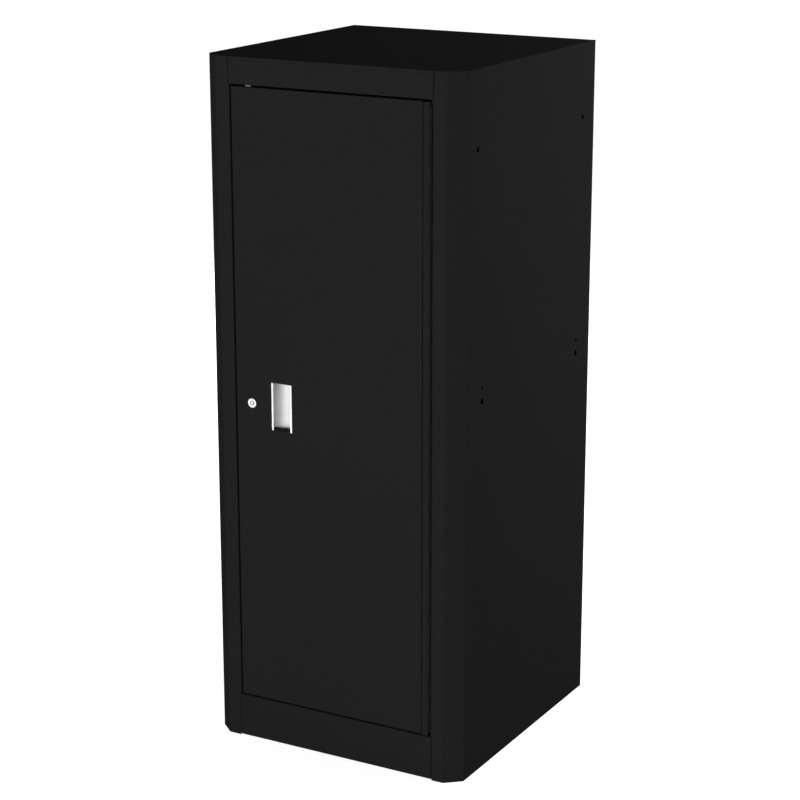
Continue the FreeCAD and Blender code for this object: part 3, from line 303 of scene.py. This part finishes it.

# %% [markdown]
# ## Hinge with painted shade
# A piano hinge is sprayed with the cabinet. Its knuckles stand in the gap between door and
# post, and the shade there is painted into a darker band round the pin's axis, which is also
# smoother. A darker line is painted beside the edge of the door's front sheet, where it lies
# on the leaf. Both marks follow the hinge: one is a band round the pin's axis and the other
# a line beside the sheet's edge, and both places come from the boxes of the model's pieces.

# %% Hinge with painted shade
pin_low, pin_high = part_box("hinge_pin")
HINGE_X = (pin_low[0] + pin_high[0]) / 2
HINGE_Y = (pin_low[1] + pin_high[1]) / 2
KNUCKLE_FROM, KNUCKLE_TO = 0.00216, 0.00264
STEP_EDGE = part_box("door_skin")[1][0]
STEP_FROM, STEP_TO = 0.00072, 0.0012
BLOTCH_SCALE, BLOTCH_REACH = 160.0, 0.0008
KNUCKLE_SHADE, KNUCKLE_SMOOTH = 0.32, 0.12
STEP_LINE_SHARE = 0.65
SHADE_AND_LINE_COLOUR = (0.002, 0.002, 0.002)


def hinge_skin(graph):
    place, x, y, _ = graph.axes()
    colour, rough, peel = paint_skin(graph, place)
    side = x - HINGE_X
    deep = y - HINGE_Y
    blotch = graph.noise(place, BLOTCH_SCALE)
    from_axis = (side * side + deep * deep).math("SQRT") + blotch.swing(BLOTCH_REACH)
    # Painted shade: the knuckles are darker in a band round the pin's axis.
    knuckle_band = 1.0 - from_axis.rise(KNUCKLE_FROM, KNUCKLE_TO)
    # A darker line of paint beside the edge of the door's front sheet.
    from_step = (x - STEP_EDGE).absolute()
    step_line = 1.0 - from_step.rise(STEP_FROM, STEP_TO)
    painted_tone = graph.tint(knuckle_band * KNUCKLE_SHADE + step_line * STEP_LINE_SHARE, colour, SHADE_AND_LINE_COLOUR)
    return {"Base Color": painted_tone, "Roughness": rough - knuckle_band * KNUCKLE_SMOOTH,
            "Normal": graph.bump(peel, PEEL_DEPTH)}


hinge_coat = surface("powder_coat_hinge", build=hinge_skin, **MATT)
print("hinge axis at", round(HINGE_X / MM, 2), round(HINGE_Y / MM, 2), "mm")

# %% [markdown]
# ## Plated steel
# Lock rods, shelf standards and clips are zinc plated. Zinc is pale, a little blue, and
# cloudy where the bath left it brighter or duller, with the faint draw lines of the strip
# underneath. It is a metal, so its base colour tints what it reflects. The rods get a
# darker and rougher copy of the zinc; their darkness is painted shade for the tips that
# show in the door's gaps.

# %% Plated steel
CLOUD_SCALE, CLOUD_ROUGH = 70.0, 0.16
LINE_SCALE, LINE_ROUGH = 1000.0, 0.12
LINE_STRETCH = (1.0, 1.0, 0.03)
LINE_DEPTH = 0.00002


def clouds_and_lines(graph, place, stretch):
    """Noise of the clouds of a metal's skin, and of its draw lines, which run upwards."""
    return (graph.noise(place, CLOUD_SCALE, 4.0),
            graph.noise(place, LINE_SCALE, 2.0, stretch=stretch))


def zinc_plate(dull, pale, roughness):
    """Metal with cloudy plating over draw lines."""

    def build(graph):
        place = graph.axes()[0]
        cloud, scratch = clouds_and_lines(graph, place, LINE_STRETCH)
        rough = roughness + cloud.swing(CLOUD_ROUGH) + scratch.swing(LINE_ROUGH)
        return {"Base Color": graph.tint(cloud, dull, pale), "Roughness": rough,
                "Normal": graph.bump(scratch, LINE_DEPTH)}
    return build


zinc = surface("zinc_plate", Metallic=1.0, build=zinc_plate(
    dull=(0.5, 0.51, 0.53), pale=(0.68, 0.69, 0.71), roughness=0.36))
# The rods' darker zinc is painted shade.
shaded_rod_zinc = surface("rod_zinc_plate", Metallic=1.0, build=zinc_plate(
    dull=(0.22, 0.225, 0.235), pale=(0.34, 0.345, 0.36), roughness=0.5))
print("zinc plate ready")

# %% [markdown]
# ## Satin aluminium
# The pull is an aluminium extrusion with an anodised satin skin, which scatters light more
# like paint than like a mirror. Its draw lines run along the length. The two lips are pale
# and smoother than the trough. The lips are the part nearest the front, which a step in depth
# picks out. The trough's colour holds painted shade and painted light: it is painted dark on
# the wall next to its near corner and paler round the bend towards the far wall, and its
# lower end, which the sill shades, is painted paler. A slanted distance across the trough,
# from its near corner, and the height over its foot place the two changes.

# %% Satin aluminium
PULL_EDGE, LIP_FACE, PULL_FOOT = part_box("pull_trough")[0]
LIP_FROM, LIP_TO = 0.00072, 0.00108
LIP_ROUGH, TROUGH_ROUGH = 0.34, 0.5
GRAIN_STRETCH = (1.0, 1.0, 0.01)
GRAIN_DEPTH = 0.000008
SLANT = math.radians(29.0)
LIT_FROM, LIT_TO, LIT_SHARE = 0.0108, 0.025, 0.66
FOOT_FROM, FOOT_TO, FOOT_LIGHT_SHARE = 0.003, 0.024, 0.5
CLOUD_SHARE = 0.15
SHADED_SKIN = (0.47, 0.47, 0.475)
PALE_SKIN = (0.95, 0.95, 0.96)


def satin(graph):
    place, x, y, z = graph.axes()
    cloud, scratch = clouds_and_lines(graph, place, GRAIN_STRETCH)
    # Painted shade and light: darker near the trough's near corner, paler across and at its
    # foot.
    across = (x - PULL_EDGE) * math.cos(SLANT) + (y - LIP_FACE) * math.sin(SLANT)
    foot = 1.0 - (z - PULL_FOOT).rise(FOOT_FROM, FOOT_TO)
    lit_across = across.rise(LIT_FROM, LIT_TO)
    painted_tone = lit_across * LIT_SHARE + foot * FOOT_LIGHT_SHARE + cloud.swing(CLOUD_SHARE)
    trough = graph.tint(painted_tone.clamp(), SHADED_SKIN, PALE_SKIN)
    inside = (y - LIP_FACE).rise(LIP_FROM, LIP_TO)
    rough = LIP_ROUGH + inside * (TROUGH_ROUGH - LIP_ROUGH) + scratch.swing(LINE_ROUGH)
    return {"Base Color": graph.tint(inside, PALE_SKIN, trough), "Roughness": rough,
            "Normal": graph.bump(scratch, GRAIN_DEPTH)}


bright = surface("satin_extrusion", Metallic=0.1, Specular_IOR_Level=0.3, build=satin)
print("lips end", round((LIP_FROM + LIP_TO) / 2 / MM, 2), "mm behind the pull's face")

# %% [markdown]
# ## Turned metal
# The lock's face is turned on a lathe and nickel plated. The tool leaves rings round the
# axis. Their height is a wave of the distance from that axis, which the lock's own box
# gives, so the rings stay centred on the lock wherever it is. Shade is painted into the
# notch that guides the key, below the face and just outside the ring-shaped groove.

# %% Turned metal
low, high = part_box("lock_plug")
LOCK_X = (low[0] + high[0]) / 2
LOCK_Z = (low[2] + high[2]) / 2
LOCK_FACE = low[1]
RING_PITCH, RING_DEPTH, RING_ROUGH = 0.00035, 0.00001, 0.08
NICKEL_ROUGH = 0.2
PATCH_SCALE, PATCH_ROUGH = 260.0, 0.1
NICKEL_DULL, NICKEL_PALE = (0.7, 0.7, 0.69), (0.84, 0.84, 0.83)
NOTCH_FLOOR = (0.0004, 0.0012)
NOTCH_START = (0.0034, 0.0036)
NOTCH_END = (0.0046, 0.005)
NOTCH_SHADE_SHARE, NOTCH_SHADE_COLOUR = 0.9, (0.02, 0.02, 0.018)


def turned(graph):
    place, x, y, z = graph.axes()
    side = x - LOCK_X
    up = z - LOCK_Z
    radius = (side * side + up * up).math("SQRT")
    ring = (radius * (math.tau / RING_PITCH)).math("SINE") * 0.5 + 0.5
    patch = graph.noise(place, PATCH_SCALE)
    plated = graph.tint(patch, NICKEL_DULL, NICKEL_PALE)
    sunk = (y - LOCK_FACE).rise(*NOTCH_FLOOR)
    # Painted shade in the notch that guides the key.
    notch_shade = sunk * radius.rise(*NOTCH_START) * (1.0 - radius.rise(*NOTCH_END))
    colour = graph.tint(notch_shade * NOTCH_SHADE_SHARE, plated, NOTCH_SHADE_COLOUR)
    rough = NICKEL_ROUGH + ring * RING_ROUGH + patch.swing(PATCH_ROUGH)
    return {"Base Color": colour, "Roughness": rough, "Normal": graph.bump(ring, RING_DEPTH)}


nickel = surface("turned_nickel", Metallic=1.0, build=turned)
print("lock axis at", round(LOCK_X / MM, 2), round(LOCK_Z / MM, 2), "mm")

# %% [markdown]
# ## Moulded plastic and rubber
# The pull's end caps, the rod guides and the catch are moulded, and their tool was
# spark-eroded, which leaves a fine even grain. The bumpers are soft rubber, with a dusty
# bloom that makes them a little paler on the high spots.

# %% Moulded plastic and rubber
BLOOM_SCALE, BLOOM_DARK, BLOOM_PALE = 45.0, 0.85, 1.2
MOULD_ROUGH = 0.14
SPARK_SCALE, SPARK_DEPTH = 1400.0, 0.00004
DUST_SCALE, DUST_DEPTH = 900.0, 0.00006


def moulded(shade, roughness, grain_scale, grain_depth):
    """Grey skin with a fine grain and a slow drift from darker to paler."""

    def build(graph):
        place = graph.axes()[0]
        grain = graph.noise(place, grain_scale, 2.0)
        bloom = graph.noise(place, BLOOM_SCALE)
        colour = graph.tint(bloom, (shade * BLOOM_DARK,) * 3, (shade * BLOOM_PALE,) * 3)
        rough = roughness + grain.swing(MOULD_ROUGH)
        return {"Base Color": colour, "Roughness": rough,
                "Normal": graph.bump(grain, grain_depth)}
    return build


plastic = surface("moulded_plastic", Specular_IOR_Level=0.15,
                  build=moulded(0.012, 0.5, SPARK_SCALE, SPARK_DEPTH))
# The pull's end caps get a darker copy of the plastic: painted shade for the sill in the
# pull's mouth.
shaded_cap_plastic = surface("black_cap_plastic", Specular_IOR_Level=0.05,
                      build=moulded(0.004, 0.6, SPARK_SCALE, SPARK_DEPTH))
rubber = surface("soft_rubber", Specular_IOR_Level=0.15,
                 build=moulded(0.022, 0.75, DUST_SCALE, DUST_DEPTH))
print("plastic and rubber ready")

# %% [markdown]
# ## Finishes on the model's pieces
# Each piece of the model that keeps its own shape gets its finish through its material
# slots. The record names a slot for each piece, so one table leads from slot to finish. A
# second one holds the few pieces whose wear or welds give them a finish of their own.

# %% Finishes on the model's pieces
FINISHES = {
    "black_paint": powder_coat,
    "zinc": zinc,
    "rubber": rubber,
    "black_plastic": plastic,
    "bright_aluminium": bright,
    "chrome": nickel,
}
OWN_FINISHES = {
    "left_side_panel": welded_coat,
    "right_side_panel": welded_coat,
    "hinge_pin": hinge_coat,
    "hinge_door_leaf": hinge_coat,
    "hinge_frame_leaf": hinge_coat,
    "upper_lock_rod": shaded_rod_zinc,
    "lower_lock_rod": shaded_rod_zinc,
    "pull_end_caps": shaded_cap_plastic,
}


def finish(piece, material):
    """Give every slot of an object the same material."""
    if not piece.material_slots:
        piece.data.materials.append(material)
    for held in piece.material_slots:
        held.link = "OBJECT"
        held.material = material


subparts = frame["record"]["subparts"]
for part in subparts:
    finish(nodes[part["node"]], FINISHES[part["material_slot"]])
for name, material in OWN_FINISHES.items():
    finish(nodes[name], material)
print(len(subparts), "pieces finished,", len(OWN_FINISHES), "with one of their own")

# %% [markdown]
# ## Edges that catch light
# No real edge is sharp. A narrow bevel on the bright pieces gives each edge a thin line of
# light. The model's mesh must stay as it is, so the bevel is a modifier: a weld first joins
# the corners that the file keeps apart, and the bevel then finds the true edges.

# %% Edges that catch light
EDGE_ANGLE = math.radians(35.0)
SAME_CORNER = 0.000001
EDGE_WIDTHS = {
    "pull_trough": 0.00035,
    "pull_end_caps": 0.0002,
    "lock_cam": 0.0002,
    "magnet_catch": 0.0005,
    "strike_plate": 0.0002,
}


def ease_edges(piece, width):
    """Bevel the sharp edges of a piece of the model with modifiers only."""
    weld = piece.modifiers.new("weld", "WELD")
    weld.merge_threshold = SAME_CORNER
    bevel = piece.modifiers.new("bevel", "BEVEL")
    bevel.width = width
    bevel.segments = 2
    bevel.limit_method = "ANGLE"
    bevel.angle_limit = EDGE_ANGLE


for name, width in EDGE_WIDTHS.items():
    ease_edges(nodes[name], width)
print(len(EDGE_WIDTHS), "pieces with eased edges")

# %% [markdown]
# ## Turned pieces
# Lock, rivets and bumpers are round. On a lathe their shape is one profile, and it is the
# same here: a list of radii and heights, in millimetres, is spun about an axis. A profile
# can carry the small roundings that a plain cylinder lacks, threads, and the lock's groove
# for its tubular key. A function of the angle may widen part of it, for a notch or a cross.

# %% Turned pieces
AXES = {
    "+X": Matrix(((0, 0, 1), (1, 0, 0), (0, 1, 0))),
    "-X": Matrix(((0, 0, -1), (0, 1, 0), (1, 0, 0))),
    "+Y": Matrix(((1, 0, 0), (0, 0, 1), (0, -1, 0))),
    "-Y": Matrix(((1, 0, 0), (0, 0, -1), (0, 1, 0))),
}
ONE_POINT = 1e-7
SHARP_FROM = math.radians(32.0)


def new_piece(name, mesh, material, body):
    """Object for a mesh, finished, that rides on a body."""
    piece = bpy.data.objects.new(name, mesh)
    bpy.context.scene.collection.objects.link(piece)
    piece.data.materials.append(material)
    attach(piece, body)
    return piece


def spin(profiles, segments=72, widen=None):
    """Mesh from (centre, axis, profile) triples, each a closed turned shape.

    A profile is a list of (radius, height), from the axis and back to it, in metres.
    widen(index, angle) may add to the radius of a point of the profile.
    """
    builder = bmesh.new()
    for centre, axis, profile in profiles:
        turn = AXES[axis]
        rings = []
        for index, (radius, height) in enumerate(profile):
            ring = []
            for step in range(segments):
                angle = math.tau * step / segments
                reach = radius + (widen(index, angle) if widen else 0.0)
                spot = Vector((reach * math.cos(angle), reach * math.sin(angle), height))
                ring.append(builder.verts.new(centre + turn @ spot))
            rings.append(ring)
        for inner, outer in zip(rings, rings[1:]):
            for step in range(segments):
                after = (step + 1) % segments
                builder.faces.new((inner[step], inner[after], outer[after], outer[step]))
    bmesh.ops.remove_doubles(builder, verts=builder.verts, dist=ONE_POINT)
    bmesh.ops.recalc_face_normals(builder, faces=builder.faces)
    mesh = bpy.data.meshes.new("turned")
    builder.to_mesh(mesh)
    builder.free()
    for face in mesh.polygons:
        face.use_smooth = True
    mesh.set_sharp_from_angle(angle=SHARP_FROM)
    return mesh


def in_metres(profile):
    return [(radius * MM, height * MM) for radius, height in profile]


def thread(crest, root, first, pitch, drop, turns):
    """Profile of a thread: crests from a height downwards, each with a root below it."""
    points = []
    for turn_number in range(turns):
        height = first - turn_number * pitch
        points += [(crest, height), (root, height - drop)]
    return points


print("lathe ready")

# %% [markdown]
# ## Lock
# The housing is a button with a rounded rim and a threaded shank. The plug turns in it,
# behind a ledge of the housing, with a little room on every side. Its face has a ring-shaped
# groove round a bright post, which a tubular key fits, and a notch at the side that guides
# the key. Both replace the plain solids of the model.

# %% Lock
DOOR_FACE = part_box("door_skin")[0][1]
lock_spot = Vector((LOCK_X, DOOR_FACE, LOCK_Z))
housing_low, housing_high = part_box("lock_housing")
HEAD = (housing_high[0] - housing_low[0]) / 2 / MM
SHANK = 6.6
shank_thread = thread(crest=SHANK, root=SHANK - 0.32, first=-1.2, pitch=1.0, drop=0.5,
                      turns=12)
housing_profile = in_metres([
    (4.98, 1.5), (4.98, 1.9), (5.08, 2.0), (HEAD - 0.7, 2.0), (HEAD - 0.4, 1.94),
    (HEAD - 0.12, 1.72), (HEAD, 1.35), (HEAD, 0.0), (SHANK, 0.0), *shank_thread,
    (SHANK, -13.2), (SHANK - 0.2, -14.0), (5.58, -14.0), (5.58, 1.5), (4.98, 1.5),
])
housing_mesh = spin([(lock_spot, "-Y", housing_profile)], segments=96)
housing = new_piece("lock_button", housing_mesh, nickel, "door")
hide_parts("lock_housing")

plug_profile = in_metres([
    (0.0, 1.86), (0.9, 1.88), (1.75, 1.86), (2.02, 1.78), (2.1, 1.6), (2.1, -4.1),
    (3.35, -4.1), (3.35, 1.7), (3.5, 1.86), (4.7, 1.9), (4.86, 1.84), (4.93, 1.7),
    (4.93, 1.3), (5.53, 1.3), (5.53, -13.95), (3.0, -13.95), (3.0, -16.3), (1.5, -16.3),
    (1.5, -9.25), (0.0, -9.25),
])
GROOVE_WALL = (6, 7, 8)
NOTCH_HALF = math.radians(19.0)
NOTCH_REACH = 1.2 * MM


def key_notch(index, angle):
    """Widen the groove's outer wall at the notch, which points to +X."""
    off = abs(math.remainder(angle, math.tau))
    return NOTCH_REACH if index in GROOVE_WALL and off < NOTCH_HALF else 0.0


plug_mesh = spin([(lock_spot, "-Y", plug_profile)], segments=120, widen=key_notch)
plug = new_piece("lock_core_plug", plug_mesh, nickel, "lock_core")
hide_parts("lock_plug")
print("lock:", len(housing.data.vertices) + len(plug.data.vertices), "vertices")

# %% [markdown]
# ## Rivets, bumpers and screws
# Blind rivets hold the hinge to the post: a domed head on the leaf and a rolled tail
# inside. Rubber buttons meet the door, and two pan-head screws hold the catch. They are
# small, but they show when the door stands open, so each gets its own profile.

# %% Rivets, bumpers and screws
def even_spots(node, count, inset):
    """Places of equal pieces in one node, spread evenly from its foot to its top."""
    low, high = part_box(node)
    middle = [(a + b) / 2 for a, b in zip(low, high)]
    first = low[2] + inset
    last = high[2] - inset
    spots = []
    for step in range(count):
        spot = Vector(middle)
        spot.z = first + (last - first) * step / (count - 1)
        spots.append(spot)
    return spots


RIVET_COUNT = 7
RIVET_HEAD = 3.2
RIVET_HEIGHT = 1.2
rivet_profile = in_metres([
    (0.0, RIVET_HEIGHT), (1.0, 1.16), (2.0, 0.98), (2.8, 0.6), (RIVET_HEAD, 0.2),
    (RIVET_HEAD, 0.0), (1.6, 0.0), (1.6, -2.2), (2.2, -2.2), (2.4, -2.6), (2.1, -3.3),
    (1.2, -3.7), (0.0, -3.7),
])
rivet_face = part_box("hinge_rivets")[0][0]
rivets = []
for spot in even_spots("hinge_rivets", RIVET_COUNT, RIVET_HEAD * MM):
    spot.x = rivet_face + RIVET_HEIGHT * MM
    rivets.append((spot, "-X", rivet_profile))
rivet_heads = new_piece("hinge_rivet_heads", spin(rivets, segments=40), zinc,
                        "cabinet")
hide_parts("hinge_rivets")

BUMPER_COUNT = 2
BUMPER_RADIUS = 5.0
bumper_profile = in_metres([
    (0.0, 2.5), (2.2, 2.46), (3.6, 2.2), (4.5, 1.6), (4.9, 0.8), (BUMPER_RADIUS, 0.0),
    (0.0, 0.0),
])
bumper_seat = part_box("door_bumpers")[1][1]
bumpers = []
for spot in even_spots("door_bumpers", BUMPER_COUNT, BUMPER_RADIUS * MM):
    spot.y = bumper_seat
    bumpers.append((spot, "-Y", bumper_profile))
bumper_buttons = new_piece("bumper_buttons", spin(bumpers, segments=48), rubber,
                           "cabinet")
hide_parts("door_bumpers")

SCREW_COUNT = 2
SCREW_HEAD = 3.0
SCREW_HEIGHT = 1.6
SCREW_BODY = 1.4
SCREW_REACH = 3.8
RECESS_WALL = (1, 2)
RECESS_ARM = 1.15 * MM
RECESS_SHARPNESS = 12
screw_thread = thread(crest=SCREW_BODY, root=1.1, first=-0.4, pitch=0.65, drop=0.32,
                      turns=5)
screw_profile = in_metres([
    (0.0, 0.5), (0.45, 0.6), (0.5, 1.5), (2.1, 1.5), (2.7, 1.2), (SCREW_HEAD, 0.7),
    (SCREW_HEAD, 0.0), (SCREW_BODY, 0.0), *screw_thread, (1.2, -SCREW_REACH),
    (0.0, -SCREW_REACH),
])


def cross_recess(index, angle):
    """Widen the hole in a screw's head into the four arms of a cross."""
    arm = RECESS_ARM * abs(math.cos(2 * angle)) ** RECESS_SHARPNESS
    return arm if index in RECESS_WALL else 0.0


screw_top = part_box("catch_screws")[1][1]
screws = []
for spot in even_spots("catch_screws", SCREW_COUNT, SCREW_HEAD * MM):
    spot.y = screw_top - SCREW_HEIGHT * MM
    screws.append((spot, "+Y", screw_profile))
screw_mesh = spin(screws, segments=64, widen=cross_recess)
screw_heads = new_piece("catch_pan_screws", screw_mesh, zinc, "cabinet")
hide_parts("catch_screws")
print(len(rivets), "rivets,", len(bumpers), "bumpers and", len(screws), "screws")

# %% [markdown]
# ## Floor and light
# The studio is a pale floor under soft light. Black paint shows only as much light as falls
# on it, so the lamps stay low and the paint keeps the colour it has. The floor and the
# backdrop look white to the camera and in metal. Near the cabinet the floor glows a little
# less than white, and there the shadow shows on it.

# %% Floor and light
WHITE = 1.0
FLOOR_HALF = 30.0
FLOOR_SHADE = 0.8
NEAR_GLOW = 0.8
NEAR_RADIUS = 0.7
FAR_RADIUS = 1.8


def ray_kinds(graph):
    """Two masks: rays that the eye sends out, also through glass, and rays from a mirror."""
    direct = graph.add("ShaderNodeLightPath", output="Is Camera Ray")
    through = graph.part(direct, "Is Transmission Ray")
    return (direct + through).clamp(), graph.part(direct, "Is Glossy Ray")


def make_floor():
    builder = bmesh.new()
    bmesh.ops.create_grid(builder, x_segments=1, y_segments=1, size=FLOOR_HALF)
    mesh = bpy.data.meshes.new("floor")
    builder.to_mesh(mesh)
    builder.free()
    floor = bpy.data.objects.new("floor", mesh)
    bpy.context.scene.collection.objects.link(floor)
    material = bpy.data.materials.new("pale_floor")
    graph = Graph(material)
    _, x, y, _ = graph.axes()
    far = (x * x + y * y).math("SQRT").rise(NEAR_RADIUS, FAR_RADIUS)
    seen, mirror = ray_kinds(graph)
    level = (seen + mirror).clamp() * (NEAR_GLOW + (WHITE - NEAR_GLOW) * far)
    glow = graph.tint(level, (0.0,) * 3, (1.0,) * 3)
    shader = graph.add("ShaderNodeBsdfPrincipled", None, {
        "Base Color": (FLOOR_SHADE, FLOOR_SHADE, FLOOR_SHADE, 1.0), "Roughness": 0.9,
        "Specular IOR Level": 0.0, "Emission Color": glow, "Emission Strength": WHITE})
    graph.add("ShaderNodeOutputMaterial", None, {"Surface": shader})
    mesh.materials.append(material)


SOFT_LIGHT = 0.06
MIRRORED_TOP = 0.25
MIRRORED_FADE = (0.1, 0.6)


def make_world():
    """Backdrop: white where it is seen, darker overhead in metal, and a soft even light."""
    world = bpy.data.worlds.new("studio")
    bpy.context.scene.world = world
    graph = Graph(world)
    direction = graph.add("ShaderNodeTexCoord", output="Generated")
    split = graph.add("ShaderNodeSeparateXYZ", None, {0: direction})
    height = graph.part(split, "Z")
    mirrored = WHITE + (MIRRORED_TOP - WHITE) * height.rise(*MIRRORED_FADE)
    seen, mirror = ray_kinds(graph)
    neither = (1.0 - seen) * (1.0 - mirror)
    level = SOFT_LIGHT * neither + mirrored * mirror + WHITE * seen
    shade = graph.tint(level, (0.0,) * 3, (1.0,) * 3)
    background = graph.add("ShaderNodeBackground", None, {"Color": shade, "Strength": 1.0})
    graph.add("ShaderNodeOutputWorld", None, {"Surface": background})


def soft_lamp(name, place, aim, width, tall, watts):
    """Rectangular lamp that points at a spot."""
    data = bpy.data.lights.new(name, "AREA")
    data.shape = "RECTANGLE"
    data.size = width
    data.size_y = tall
    data.energy = watts
    lamp = bpy.data.objects.new(name, data)
    place = Vector(place)
    lamp.location = place
    lamp.rotation_euler = (Vector(aim) - place).to_track_quat("-Z", "Y").to_euler()
    lamp.visible_glossy = False
    bpy.context.scene.collection.objects.link(lamp)


# name: place, aim, width and height in metres, watts
LAMPS = {
    "front_softbox": ((0.1, -4.4, 1.1), (0.0, 0.0, 0.55), 2.6, 1.6, 147.0),
    "side_softbox": ((1.8, 1.2, 1.75), (0.22, 0.0, 0.95), 1.0, 0.8, 46.0),
    "top_softbox": ((0.0, 0.3, 3.6), (0.0, 0.0, 1.0), 1.6, 1.6, 6.0),
    "rear_softbox": ((-2.6, 2.4, 1.0), (0.0, 0.0, 0.5), 1.6, 1.2, 55.0),
}
make_floor()
make_world()
for name, facts in LAMPS.items():
    soft_lamp(name, *facts)
bpy.context.scene.view_settings.view_transform = "Standard"
print("studio ready:", ", ".join(LAMPS))
